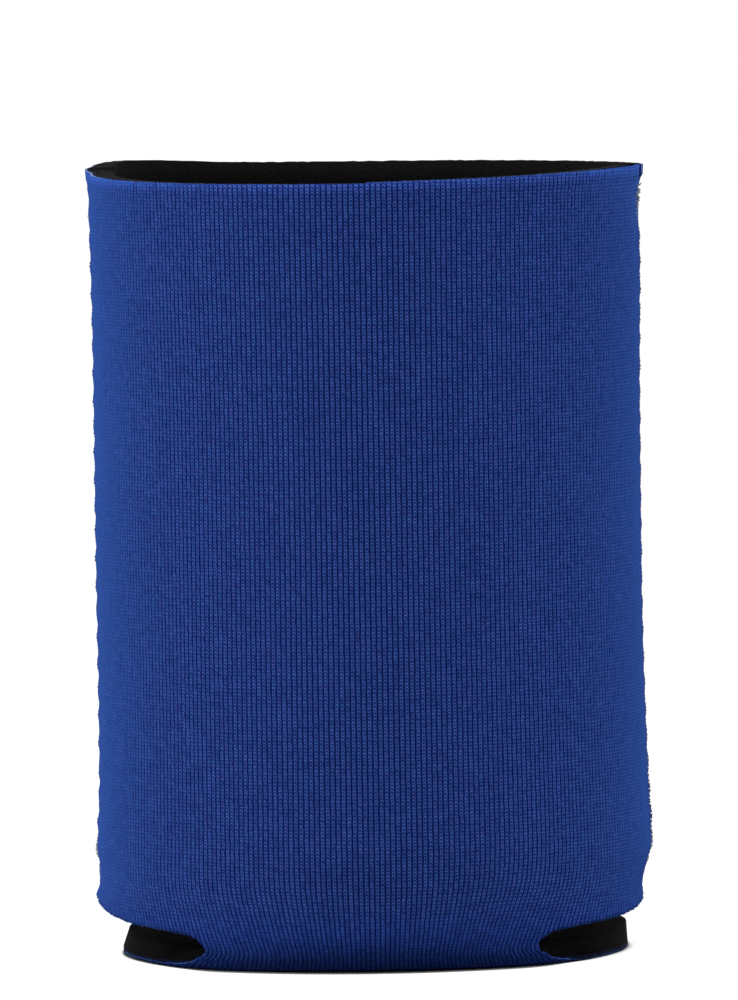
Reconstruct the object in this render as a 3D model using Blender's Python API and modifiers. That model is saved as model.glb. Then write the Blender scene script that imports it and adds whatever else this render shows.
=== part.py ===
"""Can cooler sleeve, opened to its round shape in use.

One die-cut sheet, knit fabric bonded to foam, is the front panel, the base and the back panel.
It turns under at the base and is sewn edge to edge up both sides, above a slot on each side
where the base was cut free of the panels. Metres, +Z up, base on z = 0, front towards -Y.
"""

import math

import bmesh
import bpy
from mathutils import Vector

MM = 0.001

# the sheet
INNER_RADIUS = 33.0 * MM
FOAM_THICKNESS = 2.4 * MM
BOND_GAP = 0.3 * MM
KNIT_THICKNESS = 0.5 * MM
CORNER_RADIUS = 5.0 * MM  # outside of the turn between panel and base

# the panels
FRONT_HEIGHT = 101.2 * MM  # rim at the middle of the front and the back
CORNER_RISE = 1.2 * MM  # the rim's extra height at the seams
CORNER_RISE_REACH = 16.0 * MM  # how far from the seam the rise fades
WAIST_DEPTH = 0.6 * MM  # how far the panels draw in at mid-height
SEAM_GAP = 0.3 * MM  # between the front and back panels' cut edges

# the slots and the base
SLOT_TIP_ANGLE = math.radians(37.0)  # from the front's middle
SLOT_TIP_HEIGHT = 2.8 * MM
SLOT_TIP_RADIUS = 1.3 * MM  # the slot's round inner end
SLOT_CORNER_HEIGHT = 7.7 * MM  # the panels' lower corners, at the seams
BASE_HALF_WIDTH = 33.0 * MM  # across the base's free lobes

# the sewing
THREAD_DIAMETER = 0.4 * MM
THREAD_CLEARANCE = 0.3 * MM
STITCH_PITCH = 2.0 * MM
STITCH_REACH = 2.0 * MM  # each side of the seam
SEAM_BOTTOM = 9.3 * MM
SEAM_TOP_MARGIN = 2.2 * MM  # from the last stitch up to the rim

# facets
COLUMNS = 26
PANEL_ROWS = 4
SLOT_ROWS = 7
TIP_ROWS = 4
TURN_ROWS = 3
BASE_ROWS = 3
MERGE_DISTANCE = 0.05 * MM

OUTER_RADIUS = INNER_RADIUS + FOAM_THICKNESS + BOND_GAP + KNIT_THICKNESS
FLAT_RADIUS = OUTER_RADIUS - CORNER_RADIUS
SEAM_ANGLE = math.pi / 2
PANEL_EDGE_ANGLE = SEAM_ANGLE - SEAM_GAP / 2 / OUTER_RADIUS


def rim_height(angle):
    """Height of the rim at an angle from the front's middle."""
    from_seam = OUTER_RADIUS * (SEAM_ANGLE - abs(angle))
    return FRONT_HEIGHT + CORNER_RISE * math.exp(-from_seam / CORNER_RISE_REACH)


def run_at_height(height):
    """Distance along the sheet's outside from the base's centre up to a height on the panel."""
    if height < CORNER_RADIUS:
        return FLAT_RADIUS + CORNER_RADIUS * math.acos(1 - height / CORNER_RADIUS)
    return FLAT_RADIUS + CORNER_RADIUS * math.pi / 2 + height - CORNER_RADIUS


def height_at_run(run):
    """Height on the sheet's outside, at a distance along it from the base's centre."""
    turned = (run - FLAT_RADIUS) / CORNER_RADIUS
    if turned < math.pi / 2:
        return CORNER_RADIUS * (1 - math.cos(turned))
    return CORNER_RADIUS + run - FLAT_RADIUS - CORNER_RADIUS * math.pi / 2


def run_at_radius(radius):
    """Distance along the sheet's outside from the base's centre out to a radius on the base."""
    if radius <= FLAT_RADIUS:
        return radius
    across = min(1.0, (radius - FLAT_RADIUS) / CORNER_RADIUS)
    return FLAT_RADIUS + CORNER_RADIUS * math.asin(across)


def waist(height):
    """How far the panel is drawn in at a height: nothing at the turn and at the rim."""
    share = (height - CORNER_RADIUS) / (FRONT_HEIGHT - CORNER_RADIUS)
    return WAIST_DEPTH * 4 * share * (1 - share) if 0 < share < 1 else 0.0


def sheet_point(angle, run, depth):
    """A point of the folded sheet, depth below its outside, at an angle and a run."""
    turn_end = FLAT_RADIUS + CORNER_RADIUS * math.pi / 2
    if run <= FLAT_RADIUS:
        radius, height = run, depth
    elif run <= turn_end:
        turned = (run - FLAT_RADIUS) / CORNER_RADIUS
        radius = FLAT_RADIUS + (CORNER_RADIUS - depth) * math.sin(turned)
        height = CORNER_RADIUS - (CORNER_RADIUS - depth) * math.cos(turned)
    else:
        height = CORNER_RADIUS + run - turn_end
        radius = OUTER_RADIUS - depth - waist(height)
    return Vector((radius * math.sin(angle), -radius * math.cos(angle), height))


def slot_edge():
    """The panel's edge as (angle, run): from the seam along the slot, round its tip and under."""
    tip_run = run_at_height(SLOT_TIP_HEIGHT)
    tip = []
    for step in range(TIP_ROWS + 1):
        around = math.pi / 2 - math.pi * step / TIP_ROWS
        inward = SLOT_TIP_RADIUS * (1 - math.cos(around)) / OUTER_RADIUS
        tip.append((SLOT_TIP_ANGLE + inward, tip_run + SLOT_TIP_RADIUS * math.sin(around)))
    top_angle, top_height = tip[0][0], height_at_run(tip[0][1])
    edge = []
    for step in range(SLOT_ROWS):
        share = 1 - step / SLOT_ROWS
        angle = top_angle + (PANEL_EDGE_ANGLE - top_angle) * share
        height = top_height + (SLOT_CORNER_HEIGHT - top_height) * share
        edge.append((angle, run_at_height(height)))
    return edge + tip


def panel_rows():
    """Rows of (angle, run) from the rim down to the underside of the slots' tips."""
    sides = [2 * i / COLUMNS - 1 for i in range(COLUMNS + 1)]
    rows = []
    for step in range(PANEL_ROWS):
        share = 1 - step / PANEL_ROWS
        row = []
        for side in sides:
            angle = side * PANEL_EDGE_ANGLE
            height = SLOT_CORNER_HEIGHT + share * (rim_height(angle) - SLOT_CORNER_HEIGHT)
            row.append((angle, run_at_height(height)))
        rows.append(row)
    for edge_angle, run in slot_edge():
        rows.append([(side * edge_angle, run) for side in sides])
    return rows


def base_rows():
    """Rows of (angle, run) from below the slots' tips in to the middle of the base."""
    sides = [2 * i / COLUMNS - 1 for i in range(COLUMNS + 1)]
    neck_angle, neck_run = slot_edge()[-1]
    neck_turn = (neck_run - FLAT_RADIUS) / CORNER_RADIUS
    neck_radius = FLAT_RADIUS + CORNER_RADIUS * math.sin(neck_turn)
    neck_half_width = neck_radius * math.sin(neck_angle)
    turn_steps = [neck_turn * (1 - step / TURN_ROWS) for step in range(1, TURN_ROWS + 1)]
    middle_radii = [FLAT_RADIUS + CORNER_RADIUS * math.sin(turned) for turned in turn_steps]
    middle_radii += [FLAT_RADIUS * (1 - step / BASE_ROWS) for step in range(1, BASE_ROWS + 1)]
    rows = []
    for middle_radius in middle_radii:
        share = middle_radius / neck_radius
        half_width = BASE_HALF_WIDTH - (BASE_HALF_WIDTH - neck_half_width) * share**2
        row = []
        for side in sides:
            x = side * half_width
            y = share * math.sqrt(neck_radius**2 - (side * neck_half_width) ** 2)
            row.append((math.atan2(x, y), run_at_radius(math.hypot(x, y))))
        rows.append(row)
    return rows


def principled(name, colour, roughness, metallic=0.0):
    made = bpy.data.materials.new(name)
    made.use_nodes = True
    shader = made.node_tree.nodes["Principled BSDF"]
    shader.inputs["Base Color"].default_value = (*colour, 1.0)
    shader.inputs["Roughness"].default_value = roughness
    shader.inputs["Metallic"].default_value = metallic
    made.diffuse_color = (*colour, 1.0)
    return made


def add_layer(parts, name, depth, thickness, material):
    """One layer of the sheet: its front half is a grid laid along the fold, mirrored to the back."""
    rows = panel_rows() + base_rows()
    mesh = bpy.data.meshes.new(name)
    shape = bmesh.new()
    bmesh.ops.create_grid(shape, x_segments=COLUMNS, y_segments=len(rows) - 1, size=0.5)
    for vertex in shape.verts:
        column = round((vertex.co.x + 0.5) * COLUMNS)
        row = round((0.5 - vertex.co.y) * (len(rows) - 1))
        vertex.co = sheet_point(*rows[row][column], depth)
    shape.to_mesh(mesh)
    shape.free()
    mesh.shade_smooth()
    mesh.materials.append(material)
    layer = bpy.data.objects.new(name, mesh)
    parts.objects.link(layer)
    mirror = layer.modifiers.new("Back half", "MIRROR")
    mirror.use_axis = (False, True, False)
    mirror.use_clip = True
    mirror.merge_threshold = MERGE_DISTANCE
    wall = layer.modifiers.new("Thickness", "SOLIDIFY")
    wall.thickness = thickness
    wall.offset = -1.0
    wall.use_even_offset = True
    return layer


def add_seam_thread(parts, name, side, material):
    """A thread that zigzags over the seam on one side (+1 right, -1 left), up to near the rim."""
    lift = THREAD_CLEARANCE + THREAD_DIAMETER / 2
    seam_top = rim_height(SEAM_ANGLE) - SEAM_TOP_MARGIN
    turns = 2 * round((seam_top - SEAM_BOTTOM) / STITCH_PITCH)
    reach = STITCH_REACH / OUTER_RADIUS
    curve = bpy.data.curves.new(name, "CURVE")
    curve.dimensions = "3D"
    curve.bevel_depth = THREAD_DIAMETER / 2
    curve.bevel_resolution = 1
    curve.use_fill_caps = True
    spline = curve.splines.new("POLY")
    spline.points.add(turns)
    for turn, point in enumerate(spline.points):
        height = SEAM_BOTTOM + (seam_top - SEAM_BOTTOM) * turn / turns
        angle = side * (SEAM_ANGLE - reach * (-1) ** turn)
        point.co = (*sheet_point(angle, run_at_height(height), -lift), 1.0)
    curve.materials.append(material)
    thread = bpy.data.objects.new(name, curve)
    parts.objects.link(thread)
    return thread


def build():
    for old in list(bpy.data.objects):
        bpy.data.objects.remove(old, do_unlink=True)
    parts = bpy.data.collections.new("can_cooler_sleeve")
    bpy.context.scene.collection.children.link(parts)

    knit = principled("Blue knit", (0.018, 0.045, 0.21), 0.9)
    foam = principled("Black foam", (0.008, 0.008, 0.009), 0.95)
    thread = principled("Grey blue thread", (0.16, 0.18, 0.3), 0.7)

    add_layer(parts, "knit_cover", 0.0, KNIT_THICKNESS, knit)
    add_layer(parts, "foam_body", KNIT_THICKNESS + BOND_GAP, FOAM_THICKNESS, foam)
    add_seam_thread(parts, "right_seam_thread", 1, thread)
    add_seam_thread(parts, "left_seam_thread", -1, thread)


build()
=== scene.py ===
import math
import random

import bmesh
import bpy
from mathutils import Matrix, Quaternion, Vector, noise


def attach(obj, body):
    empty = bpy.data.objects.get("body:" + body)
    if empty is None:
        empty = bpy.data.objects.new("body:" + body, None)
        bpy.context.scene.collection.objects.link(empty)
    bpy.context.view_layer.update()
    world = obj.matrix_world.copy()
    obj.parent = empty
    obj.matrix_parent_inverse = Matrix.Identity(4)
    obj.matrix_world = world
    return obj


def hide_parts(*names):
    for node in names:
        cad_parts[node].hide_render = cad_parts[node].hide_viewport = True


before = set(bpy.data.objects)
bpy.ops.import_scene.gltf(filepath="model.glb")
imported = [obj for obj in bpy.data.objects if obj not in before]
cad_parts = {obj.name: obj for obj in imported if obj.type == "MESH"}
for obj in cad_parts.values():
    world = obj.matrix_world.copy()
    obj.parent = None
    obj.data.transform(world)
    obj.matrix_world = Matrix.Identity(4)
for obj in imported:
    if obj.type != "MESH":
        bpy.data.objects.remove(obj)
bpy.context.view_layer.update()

mm = 0.001
scene = bpy.context.scene
scene.view_settings.view_transform = "Standard"

# the camera stands where the photograph was taken from, a long lens a little above the rim
cameraSettings = dict(
    place=(0.0, -1.570, 0.148), target=(0.0, 0.0, 0.0588), lens=433.3, roll=-0.85,
)

# name: place, target, width, height, watts
lightSettings = {
    "leftSoftbox": ((-1.0, -0.25, 0.75), (0, 0, 0.05), 0.5, 0.8, 8.2),
    "rightSoftbox": ((1.0, -0.25, 0.75), (0, 0, 0.05), 0.5, 0.8, 5.6),
    "frontFill": ((0.0, -0.75, 1.25), (0, 0, 0.05), 0.9, 0.5, 10.0),
    "topSoftbox": ((0.0, 0.1, 1.3), (0, 0, 0.05), 1.0, 0.7, 5.0),
}
stageSettings = dict(
    ambient=0.02, floorColour=0.15, floorGlow=0.92, floorSize=8.0,
    contactReach=3.5 * mm, contactOpen=(0.48, 0.68),  # how open the floor is, dark to full glow
)


def aimAt(obj, place, target):
    obj.location = place
    obj.rotation_mode = "QUATERNION"
    obj.rotation_quaternion = (Vector(target) - Vector(place)).to_track_quat("-Z", "Y")


def makeCamera():
    cameraData = bpy.data.cameras.new("photoCamera")
    cameraData.lens = cameraSettings["lens"]
    cameraData.clip_start = 0.05
    camera = bpy.data.objects.new("photoCamera", cameraData)
    scene.collection.objects.link(camera)
    aimAt(camera, cameraSettings["place"], cameraSettings["target"])
    roll = Quaternion((0, 0, 1), math.radians(cameraSettings["roll"]))
    camera.rotation_quaternion = camera.rotation_quaternion @ roll
    scene.camera = camera


def makeLights():
    for name, (place, target, width, height, watts) in lightSettings.items():
        lamp = bpy.data.lights.new(name, "AREA")
        lamp.shape = "RECTANGLE"
        lamp.size, lamp.size_y, lamp.energy = width, height, watts
        light = bpy.data.objects.new(name, lamp)
        scene.collection.objects.link(light)
        aimAt(light, place, target)


def addNode(tree, kind, **settings):
    node = tree.nodes.new(kind)
    for name, value in settings.items():
        setattr(node, name, value)
    return node


def feed(tree, socket, value):
    if isinstance(value, bpy.types.NodeSocket):
        tree.links.new(value, socket)
    else:
        socket.default_value = value


def calc(tree, operation, *values):
    node = addNode(tree, "ShaderNodeMath", operation=operation)
    for socket, value in zip(node.inputs, values):
        feed(tree, socket, value)
    return node.outputs[0]


def ramp(tree, value, low, high, outLow=0.0, outHigh=1.0):
    node = addNode(tree, "ShaderNodeMapRange", interpolation_type="SMOOTHSTEP")
    for socket, given in zip(node.inputs, (value, low, high, outLow, outHigh)):
        feed(tree, socket, given)
    return node.outputs[0]


def mixColour(tree, share, first, second):
    node = addNode(tree, "ShaderNodeMix", data_type="RGBA")
    feed(tree, node.inputs[0], share)
    feed(tree, node.inputs[6], first)
    feed(tree, node.inputs[7], second)
    return node.outputs[2]


def texture(tree, kind, place, **inputs):
    node = addNode(tree, kind)
    feed(tree, node.inputs["Vector"], place)
    for name, value in inputs.items():
        node.inputs[name].default_value = value
    return node


def addRelief(tree, shader, height, distance, strength=1.0):
    relief = addNode(tree, "ShaderNodeBump")
    relief.inputs["Strength"].default_value = strength
    relief.inputs["Distance"].default_value = distance
    feed(tree, relief.inputs["Height"], height)
    feed(tree, shader.inputs["Normal"], relief.outputs[0])


def newMaterial(name, roughness, **constants):
    made = bpy.data.materials.new(name)
    made.use_nodes = True
    shader = made.node_tree.nodes["Principled BSDF"]
    shader.inputs["Roughness"].default_value = roughness
    for socket, value in constants.items():
        shader.inputs[socket.replace("_", " ")].default_value = value
    return made, made.node_tree, shader


def seenRays(tree):
    # 1 where the camera looks, also by way of a mirror or glass
    path = addNode(tree, "ShaderNodeLightPath")
    seen = calc(tree, "MAXIMUM", path.outputs["Is Camera Ray"], path.outputs["Is Glossy Ray"])
    return calc(tree, "MAXIMUM", seen, path.outputs["Is Transmission Ray"])


def makeStage():
    s = stageSettings
    world = bpy.data.worlds.new("studio")
    scene.world = world
    world.use_nodes = True
    tree = world.node_tree
    background = tree.nodes["Background"]
    strength = ramp(tree, seenRays(tree), 0.0, 1.0, s["ambient"], 1.0)
    feed(tree, background.inputs["Strength"], strength)
    background.inputs["Color"].default_value = (1, 1, 1, 1)

    bpy.ops.object.select_all(action="DESELECT")
    bpy.ops.mesh.primitive_plane_add(size=s["floorSize"], location=(0, 0, 0))
    floor = bpy.context.active_object
    floor.name = "paleFloor"
    made, tree, shader = newMaterial("paleFloor", 0.9)
    place = addNode(tree, "ShaderNodeTexCoord")
    grain = texture(tree, "ShaderNodeTexNoise", place.outputs["Object"], Scale=40.0)
    tone = s["floorColour"]
    colour = mixColour(tree, grain.outputs[0], (tone, tone, tone, 1),
                       (tone * 0.99, tone * 0.99, tone, 1))
    feed(tree, shader.inputs["Base Color"], colour)
    shader.inputs["Emission Color"].default_value = (1, 1, 1, 1)
    # the floor glows less where something stands close over it, so the contact shadow stays
    openness = addNode(tree, "ShaderNodeAmbientOcclusion", samples=16)
    openness.inputs["Distance"].default_value = s["contactReach"]
    lit = ramp(tree, openness.outputs["AO"], *s["contactOpen"], 0.0, s["floorGlow"])
    feed(tree, shader.inputs["Emission Strength"], calc(tree, "MULTIPLY", seenRays(tree), lit))
    floor.data.materials.append(made)


# the folded sheet: front panel, base and back panel in one
# a run is a distance along the sheet from the base's middle, across is a distance round it

sleeve = dict(
    outerRadius=36.2 * mm, turnRadius=5.0 * mm, frontHeight=101.2 * mm, waistDepth=0.6 * mm,
    seamGap=-0.06 * mm,  # the cut edges are pressed together
    slotTipRun=36.78 * mm, slotTipAcross=23.8 * mm, slotTipRadius=1.3 * mm,
    slotTipLength=4.2 * mm, slotTopHeight=4.7 * mm, slotCornerHeight=7.7 * mm,
    baseHalfWidth=33.0 * mm, curlLeft=(0.34 * mm, 1.1 * mm), curlRight=(0.12 * mm, 2.0 * mm),
    coursePitch=0.44 * mm, halfWales=81, tipWales=38,
    lean=3.6 * mm, leanRuns=(33 * mm, 46.5 * mm), evenRun=46 * mm, tipReach=12 * mm,
    turnAtFront=4.8 * mm, turnAtTips=3.0 * mm, turnAtSides=2.2 * mm,
    stitchBottom=9.3 * mm, stitchLine=9.6 * mm, stitchTopMargin=2.2 * mm,
)
outer = sleeve["outerRadius"]
turnRadius = sleeve["turnRadius"]
flatRadius = outer - turnRadius
turnEnd = flatRadius + turnRadius * math.pi / 2
panelHalfRun = outer * math.pi / 2 - sleeve["seamGap"] / 2
tipHalfRun = sleeve["slotTipAcross"]
tipRun, tipRadius = sleeve["slotTipRun"], sleeve["slotTipRadius"]

# the rim rises to the seams, less evenly on the right, and stands higher behind
rimSettings = dict(
    left=(1.25 * mm, 14.0 * mm, 1.0), right=(1.15 * mm, 42.0 * mm, 2.0),  # rise, reach, shape
    rightDip=(0.35 * mm, 3.5 * mm),
    back=0.75 * mm, backLeft=(1.1 * mm, 15 * mm, 20 * mm), backRight=(0.25 * mm, 8 * mm),
)

softSettings = dict(
    slack=0.22 * mm, slackAtRim=0.2 * mm, slackFromSeam=3.9 * mm, slackWidth=2.8 * mm,
    tuck=0.5 * mm, tuckReach=1.3 * mm,
    puckerLeft=0.15 * mm, puckerRight=0.09 * mm, puckerPitch=3.45 * mm, puckerReach=2.5 * mm,
    earLeft=0.3 * mm, earRightFront=-0.2 * mm, earRightBack=0.4 * mm, earReach=3.0 * mm,
    cornerDraw=1.5 * mm, cornerReach=10 * mm, lowDraw=0.75 * mm, wander=0.16 * mm,
    seamCreep=-4.2 * mm, seamCreepReach=16 * mm,
    tipCreepLeft=-0.35 * mm, tipCreepRight=-0.95 * mm, tipCreepReach=11 * mm,
)

# swells and hollows beside the seams: depth, height, reach up and down, reach round
swells = dict(
    both=[(0.3 * mm, 14.5 * mm, 4.5 * mm, 9 * mm)],
    left=[
        (0.3 * mm, 52 * mm, 24 * mm, 12 * mm), (-0.35 * mm, 10.4 * mm, 2.2 * mm, 6 * mm),
        (0.45 * mm, 6.9 * mm, 1.6 * mm, 3 * mm),
    ],
    right=[
        (-0.6 * mm, 97.1 * mm, 2.5 * mm, 2.5 * mm), (0.2 * mm, 22 * mm, 11 * mm, 20 * mm),
        (0.3 * mm, 6.9 * mm, 0.9 * mm, 2 * mm), (-0.22 * mm, 9.6 * mm, 1.6 * mm, 4 * mm),
    ],
)


def smooth(value, low, high):
    share = min(1.0, max(0.0, (value - low) / (high - low)))
    return share * share * (3 - 2 * share)


def bump(value, middle, width):
    return math.exp(-((value - middle) / width) ** 2)


def runAt(height):
    if height < turnRadius:
        return flatRadius + turnRadius * math.acos(1 - height / turnRadius)
    return turnEnd + height - turnRadius


def heightAt(run):
    turned = (run - flatRadius) / turnRadius
    if turned <= 0:
        return 0.0
    if turned < math.pi / 2:
        return turnRadius * (1 - math.cos(turned))
    return turnRadius + run - turnEnd


def rimHeight(across, back=False):
    right = across > 0
    fromSeam = max(0.0, panelHalfRun - abs(across))
    if back:
        height = sleeve["frontHeight"] + rimSettings["back"]
        if right:
            rise, reach = rimSettings["backRight"]
            return height + rise * math.exp(-fromSeam / reach)
        rise, middle, width = rimSettings["backLeft"]
        return height + rise * bump(fromSeam, middle, width)
    rise, reach, shape = rimSettings["right" if right else "left"]
    height = sleeve["frontHeight"] + rise * math.exp(-((fromSeam / reach) ** shape))
    if right:
        dip, reach = rimSettings["rightDip"]
        height -= dip * math.exp(-fromSeam / reach)
    return height


def lowerRun(across):
    # the panel's lower edge: the slot's round tip, then up along the slot to the seam
    beyond = abs(across) - tipHalfRun
    tipLength, topHeight = sleeve["slotTipLength"], sleeve["slotTopHeight"]
    if beyond <= 0:
        return tipRun
    if beyond < tipLength:
        rounding = math.sqrt(tipLength**2 - (tipLength - beyond) ** 2) / tipLength
        return tipRun + (runAt(topHeight) - tipRun) * rounding
    share = (beyond - tipLength) / (panelHalfRun - tipHalfRun - tipLength)
    # a quick step up from the tip, then steeper and steeper to the corner
    rise = 0.85 * share**2.2 + 0.15 * (1 - math.exp(-share / 0.12))
    return runAt(topHeight + (sleeve["slotCornerHeight"] - topHeight) * rise)


def leanAt(column, run):
    # the ribs lean to the middle low down, where the sheet is drawn in to the slots' tips
    share = min(1.0, abs(column) / panelHalfRun)
    lean = sleeve["lean"] * math.sin(math.pi * share) ** 1.3
    return math.copysign(lean * (1 - smooth(run, *sleeve["leanRuns"])), column)


def turnAt(angle):
    # how far in from the wall the turn reaches the floor: it is tighter beside the slots' tips
    degrees = abs(math.degrees(angle))
    front, tips, sides = sleeve["turnAtFront"], sleeve["turnAtTips"], sleeve["turnAtSides"]
    reach = front + (tips - front) * smooth(degrees, 6, 38)
    return reach + (sides - tips) * smooth(degrees, 40, 65)


def giveAt(across, height, back):
    # how far the soft sheet stands out from the plain form
    s = softSettings
    right = across > 0
    fromSeam = panelHalfRun - abs(across)
    rim = rimHeight(across)
    free = smooth(height, 2.5 * mm, 8.0 * mm)
    slack = s["slack"] + s["slackAtRim"] * smooth(height, rim - 7 * mm, rim)
    slack *= bump(fromSeam, s["slackFromSeam"], s["slackWidth"])
    out = -slack * smooth(height, 8 * mm, 14 * mm)

    # the stitches turn the cut edges in and pucker them, up to the ears above the last stitch
    sewn = smooth(height, 8.0 * mm, 9.8 * mm)
    sewn *= 1 - smooth(height, rim - 2.6 * mm, rim - 1.7 * mm)
    out -= s["tuck"] * (1 - smooth(fromSeam, 0.0, s["tuckReach"])) * sewn
    pucker = s["puckerRight" if right else "puckerLeft"]
    pucker *= math.cos(2 * math.pi * height / s["puckerPitch"])
    out += pucker * sewn * math.exp(-fromSeam / s["puckerReach"])
    ear = s["earLeft"] if not right else s["earRightBack"] if back else s["earRightFront"]
    earTop = rim - 1.6 * mm if right else rim
    out += ear * math.exp(-fromSeam / s["earReach"]) * smooth(height, rim - 2.7 * mm, earTop)

    for depth, middle, up, around in swells["both"] + swells["right" if right else "left"]:
        out += depth * bump(height, middle, up) * math.exp(-fromSeam / around)
    if right:  # the lower right corner is drawn in
        low = 1 - smooth(height, 7.5 * mm, 13.5 * mm)
        out -= s["cornerDraw"] * low * math.exp(-fromSeam / s["cornerReach"]) * free
    low = 1 - smooth(height, 4 * mm, 17 * mm)
    out -= s["lowDraw"] * low * (1 - smooth(abs(across), 10 * mm, 34 * mm))
    place = Vector((across / (22 * mm), height / (26 * mm), 7.3 if back else 1.7))
    return out + s["wander"] * noise.noise(place) * free


def creepAt(across, height, back):
    # how far the sheet creeps round: the right seam runs back below the rim
    s = softSettings
    right = across > 0
    creep = 0.0
    if right:
        rim = rimHeight(across)
        creep = s["seamCreep"] * smooth(height, 80 * mm, 99 * mm)
        creep *= 1 - smooth(height, rim - 2.8 * mm, rim - 0.8 * mm)
        creep *= bump(panelHalfRun - across, 0.0, s["seamCreepReach"])
    if back:
        return -creep
    # the two slots aren't quite alike in front: the right one reaches further in
    low = 1 - smooth(height, 4 * mm, 16 * mm)
    tipCreep = s["tipCreepRight" if right else "tipCreepLeft"]
    return creep + tipCreep * bump(abs(across), tipHalfRun, s["tipCreepReach"]) * low


def sheetPoint(across, run, depth, back=False):
    height = heightAt(run)
    out = giveAt(across, height, back)
    angle = (across + creepAt(across, height, back)) / outer
    if run <= turnEnd:
        turn = turnAt(across / outer)
        turned = (run - flatRadius) / turnRadius
        radius = outer - turn + (turn - depth + out) * math.sin(turned)
        level = turnRadius - (turnRadius - depth) * math.cos(turned)
    else:
        share = (height - turnRadius) / (sleeve["frontHeight"] - turnRadius)
        waist = sleeve["waistDepth"] * 4 * share * (1 - share) if 0 < share < 1 else 0.0
        radius, level = outer - depth - waist + out, height
    facing = 1 if back else -1
    return Vector((radius * math.sin(angle), facing * radius * math.cos(angle), level))


def neckAcross(side, widening):
    # below the slots' tips the sheet widens, but only its outer ribs turn out
    return side * tipHalfRun + math.copysign(abs(side) ** 6, side) * widening


def basePoint(side, share, depth, back=False):
    # side runs -1 to 1 across the base, share 1 at the slots' tips to 0 at the base's middle line
    neck = sheetPoint(neckAcross(side, tipRadius), tipRun - tipRadius, 0.0)
    x = neck.x * share**2 + side * sleeve["baseHalfWidth"] * (1 - share**2)
    y = -neck.y * share
    radius, turn = math.hypot(x, y), turnAt(math.atan2(x, y))
    level = depth
    if radius > outer - turn:
        turned = math.asin(min(1.0, (radius - outer + turn) / turn))
        level = turnRadius - (turnRadius - depth) * math.cos(turned)
        shrink = 1 - depth * math.sin(turned) / radius
        x, y = x * shrink, y * shrink
    # the lobes' cut edges curl up a little off the floor, the left one more
    halfWidth = sleeve["baseHalfWidth"] * (1 - share**2) + abs(neck.x) * share**2
    curl, width = sleeve["curlRight" if side > 0 else "curlLeft"]
    curl *= 1 - smooth((1 - abs(side)) * halfWidth, 0.0, width)
    return Vector((x, y if back else -y, level + curl * (1 - smooth(share, 0.75, 1.0))))


waleWidth = panelHalfRun / sleeve["halfWales"]
neckColumn = sleeve["tipWales"] * waleWidth
neckShift = neckColumn - leanAt(neckColumn, tipRun) - tipHalfRun


def footOf(column, run):
    # where a rib is at a run: the ribs beside a slot's tip meet it exactly
    nearTip = bump(abs(column), neckColumn, sleeve["tipReach"])
    nearTip *= 1 - smooth(run, tipRun, sleeve["evenRun"])
    return column - leanAt(column, run) - neckShift * nearTip * (1 if column > 0 else -1)


def columnPoints(column, rows, lowRows, back):
    # (across, run) down one column from the rim, closer together below the stitching's end
    top, line = runAt(rimHeight(column, back)), runAt(sleeve["stitchLine"])
    low = tipRun
    if abs(column) > neckColumn:
        for attempt in range(8):  # the rib's lean and the edge's height depend on each other
            low = lowerRun(footOf(column, low))
    runs = [top + (line - top) * step / rows for step in range(rows)]
    runs += [line + (low - line) * step / lowRows for step in range(lowRows + 1)]
    return [(footOf(column, run), run) for run in runs]


def foldedSheet(name, s, depth, reliefAt):
    # four flat blanks, laid onto the fold and welded at the slots' tips and the base's middle
    panel = ("panel", sleeve["halfWales"], s["rows"] + s["lowRows"])
    base = ("base", sleeve["tipWales"], s["tipRows"] + s["baseRows"])
    pieces = []
    for back in (False, True):
        for block in (panel, base):
            bpy.ops.object.select_all(action="DESELECT")
            bpy.ops.mesh.primitive_grid_add(
                x_subdivisions=2 * block[1] * s["stepsPerWale"], y_subdivisions=block[2],
                size=1.0, calc_uvs=True)
            blank = bpy.context.active_object
            layBlank(blank, block, back, s, depth, reliefAt)
            pieces.append(blank)
    bpy.ops.object.select_all(action="DESELECT")
    for blank in pieces:
        blank.select_set(True)
    bpy.context.view_layer.objects.active = pieces[0]
    bpy.ops.object.join()
    made = bpy.context.active_object
    made.name = made.data.name = name
    bpy.ops.object.mode_set(mode="EDIT")
    bpy.ops.mesh.select_all(action="SELECT")
    bpy.ops.mesh.remove_doubles(threshold=0.02 * mm)
    bpy.ops.mesh.normals_make_consistent(inside=False)
    bpy.ops.object.mode_set(mode="OBJECT")
    bpy.ops.object.shade_smooth()
    return made


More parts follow.
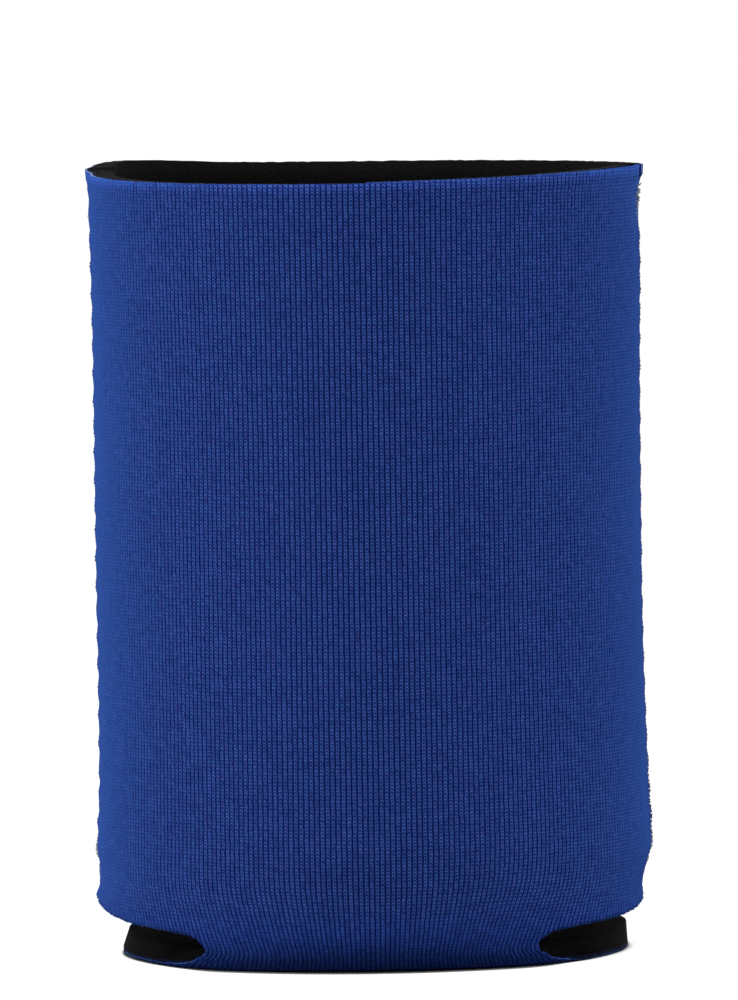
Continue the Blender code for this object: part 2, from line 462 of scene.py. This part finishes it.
def layBlank(blank, block, back, s, depth, reliefAt):
    mesh = blank.data
    kind, halfWales, rowCount = block
    columns = 2 * halfWales * s["stepsPerWale"]
    cloth = []
    pointsOf = {}
    for vertex in mesh.vertices:
        column = round((vertex.co.x + 0.5) * columns)
        row = round((0.5 - vertex.co.y) * rowCount)
        onBase = kind == "base" and row > s["tipRows"]
        wale = (2 * column / columns - 1) * halfWales
        side = footOf(wale * waleWidth, tipRun) / tipHalfRun
        if kind == "panel":
            if column not in pointsOf:
                pointsOf[column] = columnPoints(wale * waleWidth, s["rows"], s["lowRows"], back)
            across, run = pointsOf[column][row]
        elif not onBase:
            around = row / s["tipRows"] * math.pi / 2
            across = neckAcross(side, tipRadius * (1 - math.cos(around)))
            run = tipRun - tipRadius * math.sin(around)
        else:
            share = 1 - (row - s["tipRows"]) / s["baseRows"]
            run = share * (tipRun - tipRadius)
        level = depth + reliefAt(wale, run)
        if onBase:
            vertex.co = basePoint(side, share, level, back)
            # the base widens, so its map widens too
            half = sleeve["baseHalfWidth"] - (sleeve["baseHalfWidth"] - tipHalfRun) * share**2
            wale = wale * share**2 + side * (half - tipHalfRun * share**2) / waleWidth
        else:
            vertex.co = sheetPoint(across, run, level, back)
        cloth.append((wale, (-run if back else run) / sleeve["coursePitch"]))
    uvs = mesh.uv_layers.active
    uvs.name = "cloth"
    for loop in mesh.loops:
        uvs.data[loop.index].uv = cloth[loop.vertex_index]


def applyModifier(obj, name, kind, **settings):
    modifier = obj.modifiers.new(name, kind)
    for key, value in settings.items():
        setattr(modifier, key, value)
    bpy.ops.object.select_all(action="DESELECT")
    obj.select_set(True)
    bpy.context.view_layer.objects.active = obj
    bpy.ops.object.modifier_apply(modifier=name)


# knit cover

knitSettings = dict(
    stepsPerWale=3, rows=72, lowRows=9, tipRows=4, baseRows=24,
    thickness=0.68 * mm, grooveDepth=0.18 * mm, swell=0.035 * mm, ragged=0.07 * mm,
    lowEdge=8.2 * mm, rimEdge=100 * mm, fuzzLength=0.36 * mm, fuzzRadius=0.018 * mm,
    # the dark blue is painted shade in the grooves and the loops' hollows
    colour=(0.017, 0.055, 0.31, 1), dark=(0.0018, 0.009, 0.12, 1),
    # the two light blues are a painted highlight on the stitches' arches
    light=(0.07, 0.2, 0.58, 1), lightViolet=(0.125, 0.16, 0.58, 1),
    # a painted sheen, mixed in at a slant
    paintedSheen=(0.025, 0.1, 0.48, 1), paintedSheenLight=(0.06, 0.16, 0.62, 1),
    # the pale grey-blue here is a painted highlight on the rim's left corner
    edge=(0.09, 0.22, 0.62, 1), paintedHighlight=(0.55, 0.62, 0.75, 1), bond=(0.003, 0.005, 0.02, 1),
    sheenTint=(0.35, 0.5, 1.0, 1.0),
)


def knitRelief(wale, run):
    # how deep the knit lies: ribs stand up between narrow grooves, and are flat under the base
    standing = smooth(run, flatRadius, turnEnd)
    groove = 1.0 if abs(wale - round(wale)) < 0.1 else 0.0
    groove *= standing
    groove *= 0.85 + 0.3 * noise.noise(Vector((wale * 0.9, run / (4 * mm), 8.0)))
    swell = knitSettings["swell"] * noise.noise(Vector((wale * 0.8, run / (2.5 * mm), 3.0)))
    return knitSettings["grooveDepth"] * groove + swell * standing


def makeKnitGroup():
    group = bpy.data.node_groups.new("knitLoops", "ShaderNodeTree")
    group.interface.new_socket("Cloth", in_out="INPUT", socket_type="NodeSocketVector")
    group.interface.new_socket("Fade", in_out="INPUT", socket_type="NodeSocketFloat")
    for name in ("Height", "GrooveShade", "Dot", "Light", "Blotch", "Hue"):
        group.interface.new_socket(name, in_out="OUTPUT", socket_type="NodeSocketFloat")
    start = addNode(group, "NodeGroupInput")
    end = addNode(group, "NodeGroupOutput")
    cloth, fade = start.outputs[0], start.outputs[1]

    # slow wander of the yarn, then a place inside one stitch: side is -1 to 1 across the rib
    wander = texture(group, "ShaderNodeTexNoise", cloth, Scale=0.45, Detail=3.0)
    drift = calc(group, "MULTIPLY", calc(group, "SUBTRACT", wander.outputs[0], 0.5), 1.1)
    split = addNode(group, "ShaderNodeSeparateXYZ")
    feed(group, split.inputs[0], cloth)
    across = calc(group, "ADD", split.outputs[0], calc(group, "MULTIPLY", drift, 0.35))
    wale = calc(group, "FLOOR", across)
    side = calc(group, "MULTIPLY_ADD", calc(group, "SUBTRACT", across, wale), 2.0, -1.0)
    offCentre = calc(group, "ABSOLUTE", side)
    slope = calc(group, "MULTIPLY", side, 0.18)
    bow = calc(group, "MULTIPLY_ADD", calc(group, "MULTIPLY", side, side), 1.0, slope)
    along = calc(group, "ADD", calc(group, "ADD", split.outputs[1], bow), drift)
    wave = calc(group, "COSINE", calc(group, "MULTIPLY", along, 2 * math.pi))
    wave = calc(group, "MULTIPLY_ADD", wave, 0.5, 0.5)
    keep = calc(group, "SUBTRACT", 1.0, fade)

    # bright arches stacked up each rib, dim between them, with a dark groove beside the rib: masks
    # for a painted highlight on the arches and painted shade in the hollows and the groove
    groove = ramp(group, offCentre, 0.5, 0.88)
    dot = calc(group, "MULTIPLY", ramp(group, wave, 0.6, 0.05), ramp(group, offCentre, 0.55, 0.2))
    dot = calc(group, "MULTIPLY", dot, keep)
    strandHighlight = calc(group, "MULTIPLY", ramp(group, offCentre, 0.2, 0.45),
                  ramp(group, offCentre, 0.75, 0.5))
    strandHighlight = calc(group, "MULTIPLY", strandHighlight, 0.3)
    light = calc(group, "MAXIMUM", ramp(group, wave, 0.5, 1.0), strandHighlight)
    light = calc(group, "MULTIPLY", light, ramp(group, offCentre, 0.85, 0.5))
    light = calc(group, "MULTIPLY", light, keep)

    # each stitch is a little lighter or darker than the next
    stitchPlace = addNode(group, "ShaderNodeCombineXYZ")
    feed(group, stitchPlace.inputs[0], wale)
    feed(group, stitchPlace.inputs[1], calc(group, "FLOOR", along))
    stitchTone = addNode(group, "ShaderNodeTexWhiteNoise", noise_dimensions="2D")
    feed(group, stitchTone.inputs["Vector"], stitchPlace.outputs[0])
    hue = addNode(group, "ShaderNodeTexWhiteNoise", noise_dimensions="3D")
    feed(group, hue.inputs["Vector"], stitchPlace.outputs[0])
    cloudy = texture(group, "ShaderNodeTexNoise", cloth, Scale=0.08, Detail=4.0)
    blotch = calc(group, "ADD", calc(group, "MULTIPLY", stitchTone.outputs[0], 0.75),
                  calc(group, "MULTIPLY", cloudy.outputs[0], 0.25))

    height = calc(group, "MULTIPLY", calc(group, "SUBTRACT", 1.0, groove), 0.55)
    height = calc(group, "ADD", height, calc(group, "MULTIPLY", light, 0.35))
    height = calc(group, "SUBTRACT", height, calc(group, "MULTIPLY", dot, 0.45))
    height = calc(group, "ADD", height, calc(group, "MULTIPLY", stitchTone.outputs[0], 0.08))
    for socket, value in zip(end.inputs, (height, groove, dot, light, blotch, hue.outputs[0])):
        feed(group, socket, value)
    return group


def shade(colour, factor):
    return tuple(part * factor for part in colour[:3]) + (1,)


def makeKnitMaterial(group):
    s = knitSettings
    made, tree, shader = newMaterial("blueKnit", 0.8, Sheen_Weight=0.02, Sheen_Roughness=0.4,
                                     Sheen_Tint=s["sheenTint"], Specular_IOR_Level=0.06)
    uv = addNode(tree, "ShaderNodeUVMap", uv_map="cloth")
    split = addNode(tree, "ShaderNodeSeparateXYZ")
    feed(tree, split.inputs[0], uv.outputs[0])
    run, course = calc(tree, "ABSOLUTE", split.outputs[1]), sleeve["coursePitch"]
    loops = addNode(tree, "ShaderNodeGroup", node_tree=group)
    feed(tree, loops.inputs["Cloth"], uv.outputs[0])
    # the stitches fade towards the base, where the cloth is stretched and in shade
    feed(tree, loops.inputs["Fade"], ramp(tree, run, 38 * mm / course, 44 * mm / course, 0.65, 0.0))
    tone = loops.outputs["Blotch"]
    colour = mixColour(tree, tone, shade(s["colour"], 0.7), shade(s["colour"], 1.25))
    # painted highlight: the arches' tops are mixed towards a paler, greyer blue, a painted glint
    shine = calc(tree, "MULTIPLY", loops.outputs["Light"],
                 calc(tree, "MULTIPLY_ADD", tone, 0.6, 0.4))
    strandHighlight = mixColour(tree, loops.outputs["Hue"], s["light"], s["lightViolet"])
    colour = mixColour(tree, shine, colour, strandHighlight)
    # painted shade: the loops' hollows and the grooves beside the ribs are darkened towards the
    # dark blue
    for mask, share in (("Dot", 0.55), ("GrooveShade", 0.92)):
        depth = calc(tree, "MULTIPLY", loops.outputs[mask], share)
        colour = mixColour(tree, depth, colour, s["dark"])
    # painted sheen: seen at a slant, the colour turns a lighter blue, for the ribs hiding their
    # grooves and the yarn's fuzz catching the light
    slant = addNode(tree, "ShaderNodeLayerWeight")
    slant.inputs["Blend"].default_value = 0.5
    paintedSheen = calc(tree, "MULTIPLY", ramp(tree, slant.outputs["Facing"], 0.22, 0.8, 0.0, 0.95),
               ramp(tree, run, 34 * mm / course, 46 * mm / course))
    paintedSheenColour = mixColour(tree, shine, s["paintedSheen"], s["paintedSheenLight"])
    feed(tree, shader.inputs["Base Color"], mixColour(tree, paintedSheen, colour, paintedSheenColour))
    addRelief(tree, shader, loops.outputs["Height"], 0.08 * mm, 0.4)
    return made


def makeEdgeMaterial():
    s = knitSettings
    made, tree, shader = newMaterial("knitCutEdge", 0.9, Specular_IOR_Level=0.06)
    place = addNode(tree, "ShaderNodeTexCoord").outputs["Object"]
    lint = texture(tree, "ShaderNodeTexNoise", place, Scale=2600.0, Detail=3.0)
    colour = mixColour(tree, ramp(tree, lint.outputs[0], 0.35, 0.65), s["colour"], s["edge"])
    # painted highlight: the rim's left corner is pale, where the light from the left falls on it
    level = addNode(tree, "ShaderNodeSeparateXYZ")
    feed(tree, level.inputs[0], place)
    paintedHighlight = calc(tree, "MULTIPLY", ramp(tree, level.outputs[0], -33.5 * mm, -35.8 * mm, 0.0, 0.6),
                ramp(tree, level.outputs[2], 99.5 * mm, 101.5 * mm))
    colour = mixColour(tree, paintedHighlight, colour, s["paintedHighlight"])
    # only the knit's outer part is blue, the bond to the foam is dark
    inward = addNode(tree, "ShaderNodeAttribute", attribute_name="inward")
    bonded = ramp(tree, inward.outputs["Fac"], 0.1, 0.35)
    feed(tree, shader.inputs["Base Color"], mixColour(tree, bonded, colour, s["bond"]))
    addRelief(tree, shader, lint.outputs[0], 0.1 * mm)
    return made


def blankSize():
    # the die-cut blank: two panels and the base between them
    length = 2 * runAt(sleeve["frontHeight"])
    width = 2 * panelHalfRun
    steps = 400
    places = [panelHalfRun * (2 * (step + 0.5) / steps - 1) for step in range(steps)]
    panelArea = sum(runAt(rimHeight(place)) - lowerRun(place) for place in places) * width / steps
    baseHalf = sleeve["baseHalfWidth"]
    baseArea = 2 * (tipRun - tipRadius) * (baseHalf * 2 - (baseHalf - tipHalfRun) * 2 / 3)
    return width, length, 2 * panelArea + baseArea


def frayEdge(cover):
    # the die leaves the knit's edge a little uneven; returns the edge's points, for the fuzz
    s = knitSettings
    rng = random.Random(5)
    shape = bmesh.new()
    shape.from_mesh(cover.data)
    points = []
    for vertex in shape.verts:
        if vertex.is_boundary:
            low = vertex.co.z < s["lowEdge"]
            if low or vertex.co.z > s["rimEdge"]:
                outward = Vector((vertex.co.x, vertex.co.y, 0)).normalized()
                points.append((vertex.co.copy(), outward))
            amount = s["ragged"] * (1.0 if low else 0.45)
            vertex.co += Vector([rng.uniform(-amount, amount) for axis in range(3)])
            vertex.co.z = max(vertex.co.z, 0.0)
    shape.to_mesh(cover.data)
    shape.free()
    return points


def makeEdgeFuzz(points, material):
    # short loose fibres that stand off the cut edge
    s = knitSettings
    rng = random.Random(8)
    fibres = []
    for place, outward in points:
        place.z = max(place.z, s["fuzzRadius"])
        low = place.z < s["lowEdge"]
        if rng.random() > (0.8 if low else 0.3):
            continue
        aim = outward * rng.uniform(0.2, 0.9)
        aim += Vector([rng.uniform(-0.6, 0.6) for axis in range(3)])
        bend = Vector([rng.uniform(-0.5, 0.5) for axis in range(3)])
        length = s["fuzzLength"] * rng.uniform(0.3, 1.0) * (1.0 if low else 0.6)
        aim = aim.normalized() * length
        middle, tip = place + aim * 0.5, place + aim + bend * length * 0.5
        for point in (middle, tip):
            point.z = max(point.z, 0.03 * mm)
        fibres.append([place, middle, tip])
    fuzz = tube("knitEdgeFuzz", fibres, s["fuzzRadius"], 3)
    fuzz.data.materials.append(material)
    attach(fuzz, "root")
    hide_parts("knit_cover")


def makeKnitCover():
    s = knitSettings
    cover = foldedSheet("knitCover", s, 0.0, knitRelief)
    edgeMaterial = makeEdgeMaterial()
    cover.data.materials.append(makeKnitMaterial(makeKnitGroup()))
    cover.data.materials.append(edgeMaterial)
    cutPoints = frayEdge(cover)
    outerCount = len(cover.data.vertices)
    applyModifier(cover, "cutEdge", "SOLIDIFY", thickness=s["thickness"], offset=-1.0,
                  use_rim=True, use_rim_only=True, material_offset_rim=1)
    # the rim's new vertices are the inner ones
    inward = cover.data.attributes.new("inward", "FLOAT", "POINT")
    count = len(cover.data.vertices)
    inward.data.foreach_set("value", [float(index >= outerCount) for index in range(count)])
    width, length, area = blankSize()
    print("blank", round(width / mm, 1), "x", round(length / mm, 1), "mm,",
          round(area * 1e4, 1), "cm2")
    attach(cover, "root")
    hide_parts("knit_cover")
    makeEdgeFuzz(cutPoints, edgeMaterial)


# foam body

foamSettings = dict(
    stepsPerWale=1, rows=40, lowRows=8, tipRows=4, baseRows=22,
    depth=0.55 * mm, thickness=2.6 * mm, ragged=0.12 * mm, rimZone=95 * mm, backLift=0.18 * mm,
    colour=(0.0025, 0.0025, 0.0028, 1), pale=(0.0065, 0.0065, 0.007, 1),
)


def makeFoamMaterial():
    s = foamSettings
    made, tree, shader = newMaterial("blackFoam", 0.95, Specular_IOR_Level=0.03)
    place = addNode(tree, "ShaderNodeTexCoord").outputs["Object"]
    cells = texture(tree, "ShaderNodeTexVoronoi", place, Scale=3400.0).outputs["Distance"]
    cloudy = texture(tree, "ShaderNodeTexNoise", place, Scale=420.0, Detail=5.0).outputs[0]
    colour = mixColour(tree, ramp(tree, cells, 0.1, 0.6), s["colour"], s["pale"])
    feed(tree, shader.inputs["Base Color"], colour)
    addRelief(tree, shader, calc(tree, "ADD", cells, cloudy), 0.12 * mm, 0.6)
    return made


def makeFoamBody():
    s = foamSettings
    foam = foldedSheet("foamBody", s, s["depth"], lambda wale, run: 0.0)
    foam.data.materials.append(makeFoamMaterial())
    applyModifier(foam, "foamThickness", "SOLIDIFY", thickness=s["thickness"], offset=-1.0,
                  use_rim=True)
    # the cut leaves the foam level with the knit's rim, and a little uneven
    rng = random.Random(3)
    for vertex in foam.data.vertices:
        across = outer * math.atan2(vertex.co.x, abs(vertex.co.y))
        back = vertex.co.y > 0
        rim = rimHeight(across, back)
        if vertex.co.z > s["rimZone"]:
            vertex.co.z = min(vertex.co.z, rim - s["ragged"] * rng.uniform(0.0, 0.8))
        if back:  # it stands a little above the knit there
            vertex.co.z += s["backLift"] * smooth(vertex.co.z, rim - 3 * mm, rim)
    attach(foam, "root")
    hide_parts("foam_body")


# seam threads

threadSettings = dict(
    radius=0.13 * mm, sidesRound=7, reach=2.0 * mm, pitch=2.0 * mm, lift=0.31 * mm,
    pressedLeft=0.09 * mm, pressedRight=0.05 * mm,
    slackLeft=(0.182 * mm, 12.6 * mm, 2.4 * mm), slackRight=(0.13 * mm, 17 * mm, 7 * mm),
    looperSwing=0.55 * mm, looperLift=0.08 * mm, looperWave=0.04 * mm,
    # the pale grey is a painted highlight on the plies
    dark=(0.02, 0.045, 0.2, 1), colour=(0.07, 0.12, 0.34, 1), pale=(0.6, 0.64, 0.74, 1),
)


def tube(name, paths, radius, sides):
    # closed round tubes along the given paths, with a map of (length, way round) for the twist
    verts, faces, uvs = [], [], []
    for path in paths:
        first = len(verts)
        length = 0.0
        reference = Vector((0.31, 0.22, 0.93))
        for index, point in enumerate(path):
            before, after = path[max(0, index - 1)], path[min(len(path) - 1, index + 1)]
            along = (after - before).normalized()
            sideways = along.cross(reference).normalized()
            reference = sideways.cross(along).normalized()
            if index:
                length += (point - path[index - 1]).length
            width = radius * (0.55 if index in (0, len(path) - 1) else 1.0)
            for step in range(sides):
                turn = 2 * math.pi * step / sides
                offset = sideways * math.cos(turn) + reference * math.sin(turn)
                verts.append(point + offset * width)
                uvs.append((length, step / sides))
        rings = len(path)
        for ring in range(rings - 1):
            for step in range(sides):
                a = first + ring * sides + step
                b = first + ring * sides + (step + 1) % sides
                faces.append((a, b, b + sides, a + sides))
        faces.append(tuple(first + step for step in reversed(range(sides))))
        faces.append(tuple(first + (rings - 1) * sides + step for step in range(sides)))
    mesh = bpy.data.meshes.new(name)
    mesh.from_pydata(verts, [], faces)
    layer = mesh.uv_layers.new(name="yarn")
    for loop in mesh.loops:
        layer.data[loop.index].uv = uvs[loop.vertex_index]
    mesh.shade_smooth()
    made = bpy.data.objects.new(name, mesh)
    scene.collection.objects.link(made)
    bpy.ops.object.select_all(action="DESELECT")
    made.select_set(True)
    bpy.context.view_layer.objects.active = made
    bpy.ops.object.mode_set(mode="EDIT")
    bpy.ops.mesh.select_all(action="SELECT")
    bpy.ops.mesh.normals_make_consistent(inside=False)
    bpy.ops.object.mode_set(mode="OBJECT")
    return made


def seamPoint(side, fromSeam, height, lift):
    # fromSeam is negative on the front panel and positive on the back panel
    across = side * (panelHalfRun - abs(fromSeam))
    return sheetPoint(across, runAt(height), -lift, back=fromSeam > 0)


def awayFromZero(value, least, sign=1):
    return value if abs(value) > least else least * sign


def makeSeamThread(side, material):
    s = threadSettings
    hand = "Right" if side > 0 else "Left"
    rng = random.Random(11 if side > 0 else 23)
    top = rimHeight(side * panelHalfRun) - sleeve["stitchTopMargin"]
    bottom = sleeve["stitchBottom"]
    turns = 2 * round((top - bottom) / s["pitch"])
    step = (top - bottom) / turns
    slack, slackHeight, slackReach = s["slack" + hand]
    ladder = []
    for turn in range(turns + 1):
        height = bottom + (top - bottom) * turn / turns
        way = 1 if turn % 2 else -1
        reach = s["reach"] * rng.uniform(0.85, 1.1)
        # dives into the needle hole at each end, and lies over the seam between, looser low down
        lift = slack * bump(height, slackHeight, slackReach) - s["pressed" + hand]
        ladder.append(seamPoint(side, way * reach, height - 0.12 * mm, -0.25 * mm))
        ladder.append(seamPoint(side, way * reach, height + 0.12 * mm, -0.2 * mm))
        if turn < turns:
            for share in (0.18, 0.38, 0.5, 0.62, 0.82):
                swing = awayFromZero(way * reach * (1 - 2 * share), 0.05 * mm, way)
                arch = s["lift"] * bump(swing, 0.0, 0.9 * mm) + lift
                ladder.append(seamPoint(side, swing, height + step * share, arch))
    looper = []
    count = 6 * turns
    for index in range(count + 1):
        height = bottom + (top - bottom) * index / count
        swing = awayFromZero(s["looperSwing"] * math.sin(index * math.pi / 3), 0.02 * mm)
        # the last loops on the right stand loose
        loose = bump(height, top - 1.8 * mm, 1.9 * mm) if side > 0 else 0.0
        uneven = 1 + 0.5 * noise.noise(Vector((side * 3.1, index * 0.2, 0.5)))
        wave = (s["looperWave"] + 0.3 * mm * loose) * math.cos(index * math.pi / 3) * uneven
        lift = s["looperLift"] + 0.6 * mm * loose + wave
        looper.append(seamPoint(side, swing, height, lift))
    made = tube(hand.lower() + "SeamThread", [ladder, looper], s["radius"], s["sidesRound"])
    made.data.materials.append(material)
    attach(made, "root")
    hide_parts("right_seam_thread" if side > 0 else "left_seam_thread")


def makeThreadMaterial():
    s = threadSettings
    made, tree, shader = newMaterial("greyBlueThread", 0.7, Specular_IOR_Level=0.15)
    uv = addNode(tree, "ShaderNodeUVMap", uv_map="yarn")
    split = addNode(tree, "ShaderNodeSeparateXYZ")
    feed(tree, split.inputs[0], uv.outputs[0])
    # the plies' twist
    lay = calc(tree, "ADD", calc(tree, "DIVIDE", split.outputs[0], 0.75 * mm), split.outputs[1])
    plies = calc(tree, "SINE", calc(tree, "MULTIPLY", lay, 3 * math.pi))
    plies = calc(tree, "ABSOLUTE", plies)
    place = addNode(tree, "ShaderNodeTexCoord").outputs["Object"]
    lint = texture(tree, "ShaderNodeTexNoise", place, Scale=260.0).outputs[0]
    # painted highlight: the thread is pale near both ends and in spots, most on the plies' crowns;
    # between them it has taken the knit's blue
    level = addNode(tree, "ShaderNodeSeparateXYZ")
    feed(tree, level.inputs[0], place)
    paintedHighlight = calc(tree, "MAXIMUM", ramp(tree, level.outputs[2], 93 * mm, 96 * mm),
                ramp(tree, level.outputs[2], 18 * mm, 13 * mm))
    spots = ramp(tree, lint, 0.58, 0.68, 0.0, 0.45)
    tone = calc(tree, "MULTIPLY", calc(tree, "MAXIMUM", paintedHighlight, spots),
                ramp(tree, plies, 0.0, 0.6, 0.35, 1.0))
    base = mixColour(tree, ramp(tree, lint, 0.35, 0.6), s["dark"], s["colour"])
    feed(tree, shader.inputs["Base Color"], mixColour(tree, tone, base, s["pale"]))
    addRelief(tree, shader, plies, 0.08 * mm)
    return made


makeCamera()
makeLights()
makeStage()
print("camera, lights and floor made")
makeFoamBody()
print("foam body made")
makeKnitCover()
print("knit cover made")
seamMaterial = makeThreadMaterial()
for seamSide in (1, -1):
    makeSeamThread(seamSide, seamMaterial)
print("seam threads made")
